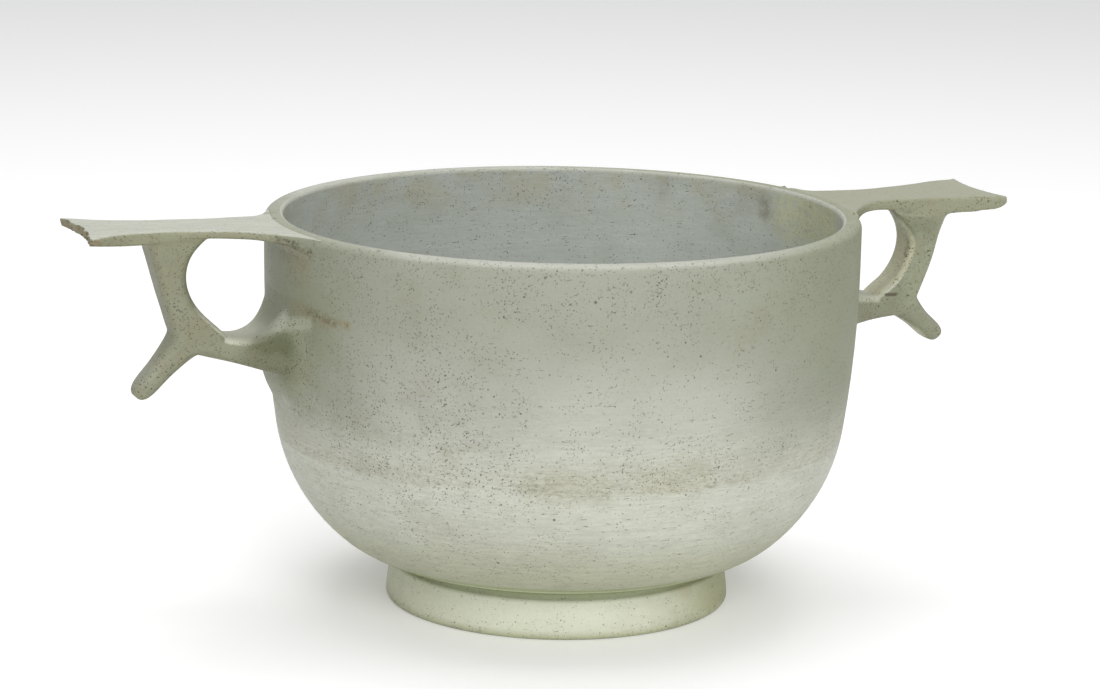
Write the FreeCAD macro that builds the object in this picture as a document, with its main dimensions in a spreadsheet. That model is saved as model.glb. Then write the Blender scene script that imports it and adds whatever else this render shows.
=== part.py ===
import FreeCAD, Part
import Sketcher
import math
import os

# Two-handled glass drinking cup (skyphos) of cast and ground glass, in millimetres.
# The origin is the centre of the foot ring's resting face. The handles lie along X, +Z is up.
# A reach is a distance from the cup's axis along a handle, a height is measured from the table.
# The bowl's sizes start at the rim, and the handles hang from the rim, so that they follow it.

SIZES = {
    # Bowl
    "cup_height": 79.4,
    "rim_radius": 60.0,
    "wall_thickness": 3.8,
    "rim_outer_round": 1.6,
    "rim_inner_round": 0.9,
    "upright_band": 9.4,
    "belly_inset": 2.4,
    "belly_height": 36.8,
    # Foot ring
    "foot_radius": 35.0,
    "foot_height": 9.6,
    "foot_thickness": 5.4,
    "foot_seat_inset": 1.6,
    "foot_shoulder_inset": 0.9,
    "foot_shoulder_round": 0.9,
    "foot_neck_inset": 2.5,
    "foot_neck_height": 2.6,
    "foot_edge_round": 1.0,
    "foot_face_curve": 24.0,
    # Shapes that both handles share
    "plate_thickness": 1.7,
    "plate_root_dip": 0.1,
    "plate_rise": 1.1,
    "plate_waist_width": 13.6,
    "plate_end_width": 24.8,
    "plate_root_flare": 10.9,
    "plate_root_web": 1.3,
    "plate_edge_round": 0.7,
    "plate_end_hollow": 1.6,
    "strap_width": 8.8,
    "strap_edge_round": 2.0,
    "loop_depth": 9.3,
    "strut_root_flare": 17.0,
    "strut_root_rise": 7.4,
    "strut_root_lift": 9.0,
    "strut_root_round": 4.5,
    "spur_end_thickness": 4.0,
    "spur_end_width": 5.6,
    # Left handle
    "left_plate_length": 40.2,
    "left_plate_keel": 1.0,
    "left_finger_gap": 18.7,
    "left_strap_lean": 5.6,
    "left_strap_bow": 0.2,
    "left_corner_out": 2.5,
    "left_corner_drop": 20.2,
    "left_corner_width": 4.8,
    "left_corner_height": 4.3,
    "left_strut_top_dip": 1.1,
    "left_strut_root_dip": 4.5,
    "left_spur_length": 14.0,
    "left_spur_lean": 0.2,
    # Right handle
    "right_plate_length": 34.2,
    "right_plate_keel": 2.0,
    "right_finger_gap": 16.3,
    "right_strap_lean": 6.0,
    "right_strap_bow": 0.8,
    "right_corner_out": 2.4,
    "right_corner_drop": 21.0,
    "right_corner_width": 4.5,
    "right_corner_height": 3.8,
    "right_strut_top_dip": 0.5,
    "right_strut_root_dip": 1.3,
    "right_spur_length": 11.3,
    "right_spur_lean": 1.7,
}

# Thumb plate, section by section from inside the wall to its outer end: way along the plate,
# then the part of the root flare, of the end flare, of the rise, of the root web and of the keel.
PLATE_SHARES = {
    "left": (
        (-0.077, 1.00, 0.00, 0.00, 1.00, 0.00),
        (-0.026, 0.66, 0.00, 0.00, 0.85, 0.00),
        (0.039, 0.41, 0.00, 0.12, 0.40, 0.00),
        (0.100, 0.29, 0.00, 0.28, 0.15, 0.00),
        (0.170, 0.20, 0.00, 0.43, 0.00, 0.00),
        (0.250, 0.10, 0.00, 0.55, 0.00, 0.00),
        (0.373, 0.03, 0.00, 0.70, 0.00, 0.00),
        (0.560, 0.00, 0.00, 0.86, 0.00, 0.55),
        (0.720, 0.00, 0.09, 0.96, 0.00, 1.00),
        (0.846, 0.00, 0.39, 1.00, 0.00, 0.70),
        (0.920, 0.00, 0.73, 1.00, 0.00, 0.25),
        (1.000, 0.00, 1.00, 1.00, 0.00, -0.25),
    ),
    "right": (
        (-0.077, 1.00, 0.00, 0.00, 1.00, 0.00),
        (-0.026, 0.62, 0.00, 0.00, 0.85, 0.00),
        (0.039, 0.36, 0.00, 0.16, 0.40, 0.00),
        (0.100, 0.20, 0.00, 0.36, 0.15, 0.05),
        (0.173, 0.09, 0.00, 0.50, 0.00, 0.15),
        (0.289, 0.03, 0.00, 0.60, 0.00, 0.30),
        (0.434, 0.00, 0.14, 0.70, 0.00, 0.65),
        (0.578, 0.00, 0.30, 0.80, 0.00, 1.00),
        (0.723, 0.00, 0.52, 0.92, 0.00, 0.70),
        (0.867, 0.00, 0.76, 1.00, 0.00, 0.25),
        (1.000, 0.00, 1.00, 1.00, 0.00, -0.20),
    ),
}

# Strap of the finger ring, from below its corner up into the thumb plate:
# way up, part of the loop's depth, way out along the outer face, part of the bow
# and way from the strap's own width to its width under the plate.
STRAP_SHARES = (
    (-0.17, 0.83, -0.62, 0.0, 0.0),
    (0.00, 0.78, 0.00, 0.0, 0.0),
    (0.20, 0.34, 0.20, 0.6, 0.0),
    (0.40, 0.07, 0.40, 1.0, 0.0),
    (0.62, 0.00, 0.62, 0.8, 0.0),
    (0.82, 0.14, 0.82, 0.4, 0.15),
    (0.95, 0.36, 0.96, 0.0, 0.60),
    (1.04, 0.52, 1.10, 0.0, 1.00),
)

# Lower strut of the finger ring, from inside the wall out to the corner: way out,
# then the part of the root flare, of the rise of its top, of the lift of its underside and of the root's rounding.
STRUT_SHARES = (
    (-0.40, 1.00, 1.00, 1.00, 1.0),
    (-0.17, 0.66, 0.93, 0.35, 1.0),
    (0.00, 0.38, 0.60, 0.06, 0.8),
    (0.18, 0.20, 0.23, 0.00, 0.4),
    (0.39, 0.08, 0.02, 0.00, 0.1),
    (0.63, 0.01, 0.03, 0.00, 0.0),
    (1.00, 0.00, 0.34, 0.00, 0.0),
)

# Spur, from its seat on the ring to its tip:
# way along, way from the seat's size to the end's size, and the rounding at the tip.
SPUR_SHARES = (
    (0.00, 0.00, 1.00),
    (0.28, 0.60, 1.00),
    (0.58, 0.88, 1.00),
    (0.84, 1.00, 0.97),
    (0.96, 1.00, 0.70),
    (1.00, 1.00, 0.30),
)

TURN_OUT_SHARE = 0.5165
TURN_UP_SHARE = 0.1985
NECK_SHARE = 0.35
CORNER_LIMIT_SHARE = 0.42
TRIM_SHARE = 2.0
ROOM_SHARE = 0.4


class Length:
    """A size with its value in millimetres and the expression that ties it to the sheet."""

    def __init__(self, value, text):
        self.value = value
        self.text = text

    def __add__(self, other):
        return Length(self.value + other.value, "(%s + %s)" % (self.text, other.text))

    def __sub__(self, other):
        return Length(self.value - other.value, "(%s - %s)" % (self.text, other.text))

    def __mul__(self, share):
        return Length(self.value * share, "(%s * %s)" % (self.text, share))

    def __truediv__(self, parts):
        return Length(self.value / parts, "(%s / %s)" % (self.text, parts))

    def __neg__(self):
        return Length(-self.value, "(-%s)" % self.text)


def sized(name):
    """The named size of the sheet."""
    return Length(SIZES[name], "Sizes." + name)


def between(start, end, share):
    """The length that lies the given share of the way from start to end."""
    return start + (end - start) * share


def add_sheet(doc):
    """The sheet of driving dimensions."""
    sheet = doc.addObject("Spreadsheet::Sheet", "Sizes")
    for row, (name, value) in enumerate(SIZES.items(), start=1):
        sheet.set("A%d" % row, name)
        sheet.set("B%d" % row, str(value))
        sheet.setAlias("B%d" % row, name)
    doc.recompute()


def add_body(doc, name):
    """An empty body with a name of its own."""
    body = doc.addObject("PartDesign::Body", name)
    body.Label = name
    return body


def add_sketch(body, name, role, offset=None):
    """A sketch on one of the body's origin planes, moved along its normal where offset is given."""
    sketch = body.newObject("Sketcher::SketchObject", name)
    plane = next(item for item in body.Origin.OriginFeatures if item.Role == role)
    sketch.AttachmentSupport = [(plane, "")]
    sketch.MapMode = "FlatFace"
    if offset is not None:
        sketch.setExpression(".AttachmentOffset.Base.z", offset.text)
    return sketch


def hold(sketch, kind, *items):
    """One constraint whose last item may be a length of the sheet."""
    if not isinstance(items[-1], Length):
        return sketch.addConstraint(Sketcher.Constraint(kind, *items))
    number = sketch.addConstraint(Sketcher.Constraint(kind, *items[:-1], items[-1].value))
    sketch.setExpression("Constraints[%d]" % number, items[-1].text)
    return number


def pin(sketch, edge, end, across=None, up=None):
    """Ties an end of an edge to its distances from the sketch's origin."""
    if across is not None:
        hold(sketch, "DistanceX", -1, 1, edge, end, across)
    if up is not None:
        hold(sketch, "DistanceY", -1, 1, edge, end, up)


def spot(across, up):
    """A point of a sketch, from two lengths or numbers."""
    values = [item.value if isinstance(item, Length) else item for item in (across, up)]
    return FreeCAD.Vector(values[0], values[1], 0)


def line(sketch, start, end):
    """A straight edge."""
    return sketch.addGeometry(Part.LineSegment(start, end))


def arc(sketch, centre, start, end):
    """A round edge about centre, anticlockwise from start to end."""
    radius = (start - centre).Length
    first = math.atan2(start.y - centre.y, start.x - centre.x)
    last = math.atan2(end.y - centre.y, end.x - centre.x)
    if last < first:
        last += math.tau
    circle = Part.Circle(centre, FreeCAD.Vector(0, 0, 1), radius)
    return sketch.addGeometry(Part.ArcOfCircle(circle, first, last))


def tangent_centre(start, normal, end):
    """Centre of the circle through start, where its normal is given, and end."""
    chord = end - start
    radius = -chord.dot(chord) / (2 * normal.dot(chord))
    return start - normal * radius


def chord_centre(start, end, radius):
    """Centre of the circle of the given radius that runs anticlockwise from start to end."""
    chord = end - start
    middle = (start + end) * 0.5
    left = FreeCAD.Vector(-chord.y, chord.x, 0).normalize()
    return middle + left * math.sqrt(radius ** 2 - (chord.Length / 2) ** 2)


def draw_cup_outside(sketch):
    """Outer line of the bowl from its seat on the foot up to the flat of the rim.

    Three arcs run into each other without a corner: under the belly, the belly and the wall.
    Returns the three arc edges, the edge that ends on the axis and the edge that ends on the rim."""
    rim = sized("rim_radius")
    height = sized("cup_height")
    lip = sized("rim_outer_round")
    seat_radius = sized("foot_radius") - sized("foot_seat_inset")
    seat_height = sized("foot_height")
    belly_radius = rim - sized("belly_inset")
    belly_height = sized("belly_height")
    turn_radius = between(seat_radius, belly_radius, TURN_OUT_SHARE)
    turn_height = between(seat_height, belly_height, TURN_UP_SHARE)
    upright_height = height - sized("upright_band")
    seat = spot(seat_radius, seat_height)
    turn = spot(turn_radius, turn_height)
    belly = spot(belly_radius, belly_height)
    upright = spot(rim, upright_height)
    shoulder = spot(rim, height - lip)
    crown = spot(rim - lip, height)

    wall_centre = tangent_centre(upright, FreeCAD.Vector(1, 0, 0), belly)
    belly_centre = tangent_centre(belly, (belly - wall_centre).normalize(), turn)
    under_centre = tangent_centre(turn, (turn - belly_centre).normalize(), seat)

    base = line(sketch, spot(0, seat_height), seat)
    under = arc(sketch, under_centre, seat, turn)
    swell = arc(sketch, belly_centre, turn, belly)
    wall = arc(sketch, wall_centre, belly, upright)
    side = line(sketch, upright, shoulder)
    round_edge = arc(sketch, spot(rim - lip, height - lip), shoulder, crown)

    hold(sketch, "PointOnObject", base, 1, -2)
    hold(sketch, "Horizontal", base)
    pin(sketch, base, 2, seat_radius, seat_height)
    hold(sketch, "Coincident", base, 2, under, 1)
    hold(sketch, "Tangent", under, 2, swell, 1)
    pin(sketch, swell, 1, turn_radius, turn_height)
    hold(sketch, "Tangent", swell, 2, wall, 1)
    pin(sketch, wall, 1, belly_radius, belly_height)
    hold(sketch, "Tangent", wall, 2, side, 1)
    pin(sketch, side, 1, rim, upright_height)
    hold(sketch, "Vertical", side)
    hold(sketch, "Tangent", side, 2, round_edge, 1)
    hold(sketch, "Radius", round_edge, lip)
    pin(sketch, round_edge, 2, rim - lip, height)
    return (under, swell, wall), base, round_edge


def draw_cup_inside(sketch, outer_arcs, base, crown):
    """Inner line of the bowl, one wall thickness inside the outer one, with a flat floor."""
    rim = sized("rim_radius")
    height = sized("cup_height")
    lip = sized("rim_inner_round")
    inner = rim - sized("wall_thickness")
    thickness = sized("wall_thickness").value
    upright_height = height - sized("upright_band")
    geometry = [sketch.Geometry[number] for number in outer_arcs]
    centres = [item.Center for item in geometry]
    under_start = centres[0] - FreeCAD.Vector(0, geometry[0].Radius - thickness, 0)

    def inward(item, number):
        point = item.EndPoint
        return point + (centres[number] - point).normalize() * thickness

    top = line(sketch, spot(rim - sized("rim_outer_round"), height), spot(inner + lip, height))
    round_edge = arc(sketch, spot(inner + lip, height - lip), spot(inner + lip, height), spot(inner, height - lip))
    side = line(sketch, spot(inner, height - lip), spot(inner, upright_height))
    wall = arc(sketch, centres[2], inward(geometry[1], 1), spot(inner, upright_height))
    swell = arc(sketch, centres[1], inward(geometry[0], 0), inward(geometry[1], 1))
    under = arc(sketch, centres[0], under_start, inward(geometry[0], 0))
    floor = line(sketch, under_start, spot(0, under_start.y))
    axis = line(sketch, spot(0, under_start.y), spot(0, sized("foot_height")))

    hold(sketch, "Coincident", crown, 2, top, 1)
    hold(sketch, "Horizontal", top)
    hold(sketch, "Tangent", top, 2, round_edge, 1)
    hold(sketch, "Radius", round_edge, lip)
    hold(sketch, "Tangent", round_edge, 2, side, 1)
    hold(sketch, "Vertical", side)
    pin(sketch, side, 2, inner, upright_height)
    hold(sketch, "Coincident", side, 2, wall, 2)
    for outside, inside in zip(outer_arcs, (under, swell, wall)):
        hold(sketch, "Coincident", outside, 3, inside, 3)
    hold(sketch, "Tangent", wall, 1, swell, 2)
    hold(sketch, "Tangent", swell, 1, under, 2)
    hold(sketch, "Tangent", under, 1, floor, 1)
    hold(sketch, "Horizontal", floor)
    hold(sketch, "PointOnObject", floor, 2, -2)
    hold(sketch, "Coincident", floor, 2, axis, 1)
    hold(sketch, "Coincident", axis, 2, base, 1)


def spin(body, sketch, name):
    """Turns a profile once round the upright axis."""
    turned = body.newObject("PartDesign::Revolution", name)
    turned.Profile = sketch
    turned.ReferenceAxis = (sketch, ["V_Axis"])
    turned.Angle = 360
    return turned


def make_bowl(doc):
    """The bowl: a cast shell with a ground rim, a full belly and a flat floor."""
    body = add_body(doc, "bowl")
    sketch = add_sketch(body, "bowl_profile", "XZ_Plane")
    outer_arcs, base, crown = draw_cup_outside(sketch)
    draw_cup_inside(sketch, outer_arcs, base, crown)
    spin(body, sketch, "bowl_shell")
    return body


def make_cup_form(doc):
    """The bowl's outer form as a full solid, which the handles are cut to fit."""
    body = add_body(doc, "cup_form")
    sketch = add_sketch(body, "cup_form_profile", "XZ_Plane")
    outer_arcs, base, crown = draw_cup_outside(sketch)
    height = sized("cup_height")
    top = line(sketch, spot(sized("rim_radius") - sized("rim_outer_round"), height), spot(0, height))
    axis = line(sketch, spot(0, height), spot(0, sized("foot_height")))
    hold(sketch, "Coincident", crown, 2, top, 1)
    hold(sketch, "Horizontal", top)
    hold(sketch, "PointOnObject", top, 2, -2)
    hold(sketch, "Coincident", top, 2, axis, 1)
    hold(sketch, "Coincident", axis, 2, base, 1)
    spin(body, sketch, "cup_form_solid")
    return body


def make_foot_ring(doc):
    """The foot: a low ring with a softly rounded face, pinched to a neck under the bowl."""
    body = add_body(doc, "foot_ring")
    sketch = add_sketch(body, "foot_profile", "XZ_Plane")
    radius = sized("foot_radius")
    seat = sized("foot_height")
    seat_radius = radius - sized("foot_seat_inset")
    edge = sized("foot_edge_round")
    soft = sized("foot_shoulder_round")
    shoulder = radius - sized("foot_shoulder_inset")
    shoulder_height = seat - sized("foot_neck_height")
    neck_radius = radius - sized("foot_neck_inset")
    neck_height = between(shoulder_height + soft, seat, NECK_SHARE)
    hollow_radius = radius - sized("foot_thickness")
    hollow_top_radius = seat_radius - sized("foot_thickness")

    hollow = spot(hollow_radius, 0)
    rest = spot(radius - edge, 0)
    low = spot(radius, edge)
    high = spot(shoulder, shoulder_height)
    brow = spot(shoulder - soft, shoulder_height + soft)
    neck = spot(neck_radius, neck_height)
    top = spot(seat_radius, seat)
    inside = spot(hollow_top_radius, seat)

    bottom = line(sketch, hollow, rest)
    toe = arc(sketch, spot(radius - edge, edge), rest, low)
    face_centre = chord_centre(low, high, sized("foot_face_curve").value)
    face = arc(sketch, face_centre, low, high)
    crest = arc(sketch, spot(shoulder - soft, shoulder_height), high, brow)
    slope = line(sketch, brow, neck)
    flare = line(sketch, neck, top)
    joint = line(sketch, top, inside)
    hollow_wall = line(sketch, inside, hollow)

    pin(sketch, bottom, 1, hollow_radius)
    hold(sketch, "PointOnObject", bottom, 1, -1)
    hold(sketch, "Horizontal", bottom)
    hold(sketch, "Tangent", bottom, 2, toe, 1)
    hold(sketch, "Radius", toe, edge)
    pin(sketch, toe, 2, radius, edge)
    hold(sketch, "Coincident", toe, 2, face, 1)
    hold(sketch, "Radius", face, sized("foot_face_curve"))
    pin(sketch, face, 2, shoulder, shoulder_height)
    hold(sketch, "Coincident", face, 2, crest, 1)
    hold(sketch, "Radius", crest, soft)
    pin(sketch, crest, 2, shoulder - soft, shoulder_height + soft)
    hold(sketch, "Coincident", crest, 2, slope, 1)
    pin(sketch, slope, 2, neck_radius, neck_height)
    hold(sketch, "Coincident", slope, 2, flare, 1)
    pin(sketch, flare, 2, seat_radius, seat)
    hold(sketch, "Coincident", flare, 2, joint, 1)
    pin(sketch, joint, 2, hollow_top_radius, seat)
    hold(sketch, "Coincident", joint, 2, hollow_wall, 1)
    hold(sketch, "Coincident", hollow_wall, 2, bottom, 1)
    spin(body, sketch, "foot_turned")
    return body


def draw_section(sketch, low, high, half, corner, upright):
    """A rectangle with rounded corners, centred across the handle.

    It spans low to high along the handle's plane and half to each side of it.
    The span runs up the sketch where upright is true, and across it otherwise."""
    low_value, high_value, side = low.value, high.value, half.value
    limit = min(high_value - low_value, 2 * side) * CORNER_LIMIT_SHARE
    if corner.value > limit:
        corner = (high - low if high_value - low_value < 2 * side else half * 2) * CORNER_LIMIT_SHARE
    soft = corner.value

    if upright:
        box = (-side, side, low_value, high_value)
        limits = (-half, half, low, high)
    else:
        box = (low_value, high_value, -side, side)
        limits = (low, high, -half, half)
    west, east, south, north = box

    ends = (
        (west + soft, south, east - soft, south),
        (east, south + soft, east, north - soft),
        (east - soft, north, west + soft, north),
        (west, north - soft, west, south + soft),
    )
    centres = (
        (east - soft, south + soft),
        (east - soft, north - soft),
        (west + soft, north - soft),
        (west + soft, south + soft),
    )
    sides = [line(sketch, spot(*four[:2]), spot(*four[2:])) for four in ends]
    rounds = []
    for number, centre in enumerate(centres):
        following = ends[(number + 1) % 4]
        rounds.append(arc(sketch, spot(*centre), spot(*ends[number][2:]), spot(*following[:2])))

    for number in range(4):
        hold(sketch, "Tangent", sides[number], 2, rounds[number], 1)
        hold(sketch, "Tangent", rounds[number], 2, sides[(number + 1) % 4], 1)
        hold(sketch, "Horizontal" if number % 2 == 0 else "Vertical", sides[number])
    for number in (1, 2, 3):
        hold(sketch, "Equal", rounds[0], rounds[number])
    hold(sketch, "Radius", rounds[0], corner)
    pin(sketch, sides[3], 1, across=limits[0])
    pin(sketch, sides[1], 1, across=limits[1])
    pin(sketch, sides[0], 1, up=limits[2])
    pin(sketch, sides[2], 1, up=limits[3])


def loft(body, name, sections):
    """A smooth skin through a row of section sketches."""
    skin = body.newObject("PartDesign::AdditiveLoft", name)
    skin.Profile = sections[0]
    skin.Sections = sections[1:]
    skin.Ruled = False
    return skin


def vertex_of(side):
    """Reach and height of the finger ring's outer corner, where strap and spur meet."""
    reach = sized("rim_radius") + sized(side + "_finger_gap") + sized(side + "_corner_out")
    return reach, sized("cup_height") - sized(side + "_corner_drop")


def crotch_of(side):
    """Reach and height of the finger ring's inner corner, where strut and spur meet."""
    reach, height = vertex_of(side)
    return reach - sized(side + "_corner_width"), height - sized(side + "_corner_height")


def make_plate_body(doc, side):
    """The flat thumb plate: wide where it grows out of the rim, waisted, and flared at its end."""
    body = add_body(doc, side + "_plate_form")
    rim = sized("rim_radius")
    reach = rim + sized(side + "_plate_length")
    height = sized("cup_height")
    waist = sized("plate_waist_width") / 2
    end_flare = (sized("plate_end_width") - sized("plate_waist_width")) / 2
    full_rise = sized("plate_root_dip") + sized("plate_rise")
    sections = []
    for number, (way, root, end, rise, web, keel) in enumerate(PLATE_SHARES[side]):
        half = waist + sized("plate_root_flare") * root + end_flare * end
        top = height - sized("plate_root_dip") + full_rise * rise
        under = top - sized("plate_thickness") - sized("plate_root_web") * web - sized(side + "_plate_keel") * keel
        sketch = add_sketch(body, "%s_plate_section_%d" % (side, number), "YZ_Plane", between(rim, reach, way))
        draw_section(sketch, under, top, half, sized("plate_edge_round"), True)
        sections.append(sketch)
    loft(body, side + "_plate_skin", sections)
    return body


def make_ring_body(doc, side):
    """The finger ring: a strap that hangs from the plate and a strut that leads back to the wall."""
    body = add_body(doc, side + "_ring_form")
    half = sized("strap_width") / 2
    top_half = sized("plate_waist_width") / 2 - sized("plate_edge_round")
    soft = sized("strap_edge_round")
    vertex, vertex_height = vertex_of(side)
    crotch, crotch_height = crotch_of(side)
    loop_reach = sized("rim_radius") + sized(side + "_finger_gap")
    top_reach = vertex + sized(side + "_strap_lean")
    under_plate = sized("cup_height") + sized("plate_rise") - sized("plate_thickness")
    strut_top = vertex_height - sized(side + "_strut_top_dip")
    strut_root = crotch_height - sized(side + "_strut_root_dip")

    strap = []
    for number, (way, loop, out, bow, flare) in enumerate(STRAP_SHARES):
        inner = loop_reach - sized("loop_depth") * loop
        outer = between(vertex, top_reach, out) + sized(side + "_strap_bow") * bow
        level = between(vertex_height, under_plate, way)
        sketch = add_sketch(body, "%s_strap_section_%d" % (side, number), "XY_Plane", level)
        draw_section(sketch, inner, outer, between(half, top_half, flare), soft, False)
        strap.append(sketch)
    loft(body, side + "_strap_skin", strap)

    strut = []
    for number, (way, flare, rise, lift, rounding) in enumerate(STRUT_SHARES):
        under = between(strut_root, crotch_height, way) + sized("strut_root_lift") * lift
        top = strut_top + sized("strut_root_rise") * rise
        wide = half + sized("strut_root_flare") * flare
        corner = between(soft, sized("strut_root_round"), rounding)
        place = between(sized("rim_radius"), crotch, way)
        sketch = add_sketch(body, "%s_strut_section_%d" % (side, number), "YZ_Plane", place)
        draw_section(sketch, under, top, wide, corner, True)
        strut.append(sketch)
    loft(body, side + "_strut_skin", strut)
    return body


def seat_on_corner(item, side, downward=False):
    """Sets an item on the corner of the finger ring, square to the line from crotch to vertex."""
    vertex, vertex_height = vertex_of(side)
    crotch, crotch_height = crotch_of(side)
    angle = "atan2(%s; %s)" % (sized(side + "_corner_height").text, sized(side + "_corner_width").text)
    if downward:
        angle += " + 180 deg"
    item.Placement = FreeCAD.Placement(FreeCAD.Vector(), FreeCAD.Rotation(FreeCAD.Vector(0, -1, 0), 1))
    item.setExpression(".Placement.Base.x", ((crotch + vertex) / 2).text)
    item.setExpression(".Placement.Base.z", ((crotch_height + vertex_height) / 2).text)
    item.setExpression(".Placement.Rotation.Angle", angle)


def spur_seat_half(side):
    """Half the length of the spur's seat, from the ring's crotch to its outer corner."""
    run = sized(side + "_corner_width")
    climb = sized(side + "_corner_height")
    text = "sqrt(%s ^ 2 + %s ^ 2)" % (run.text, climb.text)
    return Length(math.hypot(run.value, climb.value), text) / 2


def make_spur_body(doc, side):
    """The spur: a short tapering finger rest that points down and out, with a blunt round tip."""
    body = add_body(doc, side + "_spur_form")
    length = sized(side + "_spur_length")
    seat_half = spur_seat_half(side)
    end_half = sized("spur_end_thickness") / 2
    seat_side = sized("strap_width") / 2
    end_side = sized("spur_end_width") / 2
    sections = []
    for number, (way, taper, tip) in enumerate(SPUR_SHARES):
        thick = between(seat_half, end_half, taper) * tip
        wide = between(seat_side, end_side, taper) * tip
        middle = sized(side + "_spur_lean") * way
        sketch = add_sketch(body, "%s_spur_section_%d" % (side, number), "XY_Plane", length * -way)
        draw_section(sketch, middle - thick, middle + thick, wide, sized("strap_edge_round"), False)
        sections.append(sketch)
    loft(body, side + "_spur_skin", sections)
    seat_on_corner(body, side)
    return body


def add_cut(doc, name, base, tools):
    """What is left of a solid when other solids are taken away from it, one after the other."""
    for number, tool in enumerate(tools):
        cut = doc.addObject("Part::Cut", "%s_%d" % (name, number))
        cut.Base = base
        cut.Tool = tool
        base = cut
    return base


def make_scoop(doc, side):
    """The upright cylinder that hollows the outer end of the thumb plate."""
    scoop = doc.addObject("Part::Cylinder", side + "_end_scoop")
    radius = "((Sizes.plate_end_width / 2) ^ 2 + Sizes.plate_end_hollow ^ 2) / (2 * Sizes.plate_end_hollow)"
    reach = sized("rim_radius") + sized(side + "_plate_length") - sized("plate_end_hollow")
    scoop.setExpression("Radius", radius)
    scoop.setExpression("Height", (sized("cup_height") * TRIM_SHARE).text)
    scoop.setExpression(".Placement.Base.x", "%s + %s" % (reach.text, radius))
    return scoop


def make_spur_room(doc, side):
    """The space beyond the ring's corner that the spur takes up."""
    room = doc.addObject("Part::Cylinder", side + "_spur_room")
    size = sized("cup_height") * ROOM_SHARE
    room.setExpression("Radius", size.text)
    room.setExpression("Height", size.text)
    seat_on_corner(room, side, True)
    return room


def make_handle(doc, side, cup_form):
    """One handle: thumb plate, finger ring and spur, cut to sit face to face on their neighbours."""
    plate_form = make_plate_body(doc, side)
    ring_form = make_ring_body(doc, side)
    plate = add_cut(doc, side + "_plate_cut", plate_form, [cup_form, make_scoop(doc, side)])
    ring = add_cut(doc, side + "_ring_cut", ring_form, [cup_form, plate_form, make_spur_room(doc, side)])
    spur = make_spur_body(doc, side)
    pieces = (("thumb_plate", plate), ("finger_ring", ring), ("spur", spur))
    return [place_piece(doc, side, name, piece) for name, piece in pieces]


def place_piece(doc, side, name, piece):
    """Names a finished piece, and turns it to the other side of the cup for the left handle."""
    if side == "left":
        source = piece
        piece = doc.addObject("Part::Mirroring", "%s_%s" % (side, name))
        piece.Source = source
        piece.Normal = FreeCAD.Vector(1, 0, 0)
    piece.Label = "%s_%s" % (side, name)
    return piece


def check(doc, parts):
    """Stops the build where an object has failed or a piece isn't one valid solid."""
    for item in doc.Objects:
        if "Invalid" in item.State or "Error" in item.State:
            raise RuntimeError("%s did not compute: %s" % (item.Name, item.State))
    for part in parts:
        shape = part.Shape
        if shape.isNull() or not shape.isValid() or len(shape.Solids) != 1:
            raise RuntimeError("%s is not one valid solid" % part.Label)


def main():
    doc = FreeCAD.newDocument("skyphos")
    add_sheet(doc)
    cup_form = make_cup_form(doc)
    parts = [make_bowl(doc), make_foot_ring(doc)]
    for side in ("left", "right"):
        parts += make_handle(doc, side, cup_form)
    doc.recompute()
    check(doc, parts)
    os.makedirs("parts", exist_ok=True)
    for part in parts:
        part.Shape.exportStep("parts/%s.step" % part.Label)
        print("%-20s volume %9.1f mm3" % (part.Label, part.Shape.Volume))


main()
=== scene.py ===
import math

import bmesh
import bpy
import numpy as np
from mathutils import Matrix, Vector, noise


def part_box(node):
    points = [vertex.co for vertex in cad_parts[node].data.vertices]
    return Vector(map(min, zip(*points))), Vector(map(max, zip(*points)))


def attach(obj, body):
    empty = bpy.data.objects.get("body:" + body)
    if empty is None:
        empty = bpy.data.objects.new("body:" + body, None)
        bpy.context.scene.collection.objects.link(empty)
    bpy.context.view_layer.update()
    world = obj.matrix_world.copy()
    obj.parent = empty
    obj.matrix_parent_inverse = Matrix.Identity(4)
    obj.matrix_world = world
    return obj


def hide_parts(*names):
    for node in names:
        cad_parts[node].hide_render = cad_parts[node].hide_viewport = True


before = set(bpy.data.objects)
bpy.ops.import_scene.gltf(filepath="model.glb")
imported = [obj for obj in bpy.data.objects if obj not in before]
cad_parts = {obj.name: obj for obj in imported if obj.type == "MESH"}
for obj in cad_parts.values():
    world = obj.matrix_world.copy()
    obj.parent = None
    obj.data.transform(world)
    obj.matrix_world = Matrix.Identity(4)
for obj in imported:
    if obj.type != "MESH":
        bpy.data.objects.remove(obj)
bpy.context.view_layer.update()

# Table and light
# The cup stands on a pale table in a plain studio: a broad soft box overhead, another in
# front of the table, and even light from the white walls.
TABLE_SIZE = 6.0
TABLE_COLOUR = (0.92, 0.92, 0.92, 1.0)
TABLE_ROUGHNESS = 0.9
TABLE_GLOSS = 0.1
TABLE_LIFT = (0.17, 0.17, 0.175, 1.0)
BLACK = (0.0, 0.0, 0.0, 1.0)
WALL_COLOUR = (0.95, 0.95, 0.96, 1.0)
WALL_STRENGTH = 1.0
ROOM_COLOUR = (1.0, 1.0, 1.0, 1.0)
ROOM_STRENGTH = 0.45
CUP_MIDDLE = Vector((0.0, 0.0, 0.04))
OVERHEAD_PLACE = Vector((0.05, 0.15, 0.95))
FRONT_PLACE = Vector((-0.2, -1.2, 0.6))

scene = bpy.context.scene
scene.view_settings.view_transform = "Standard"


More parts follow.
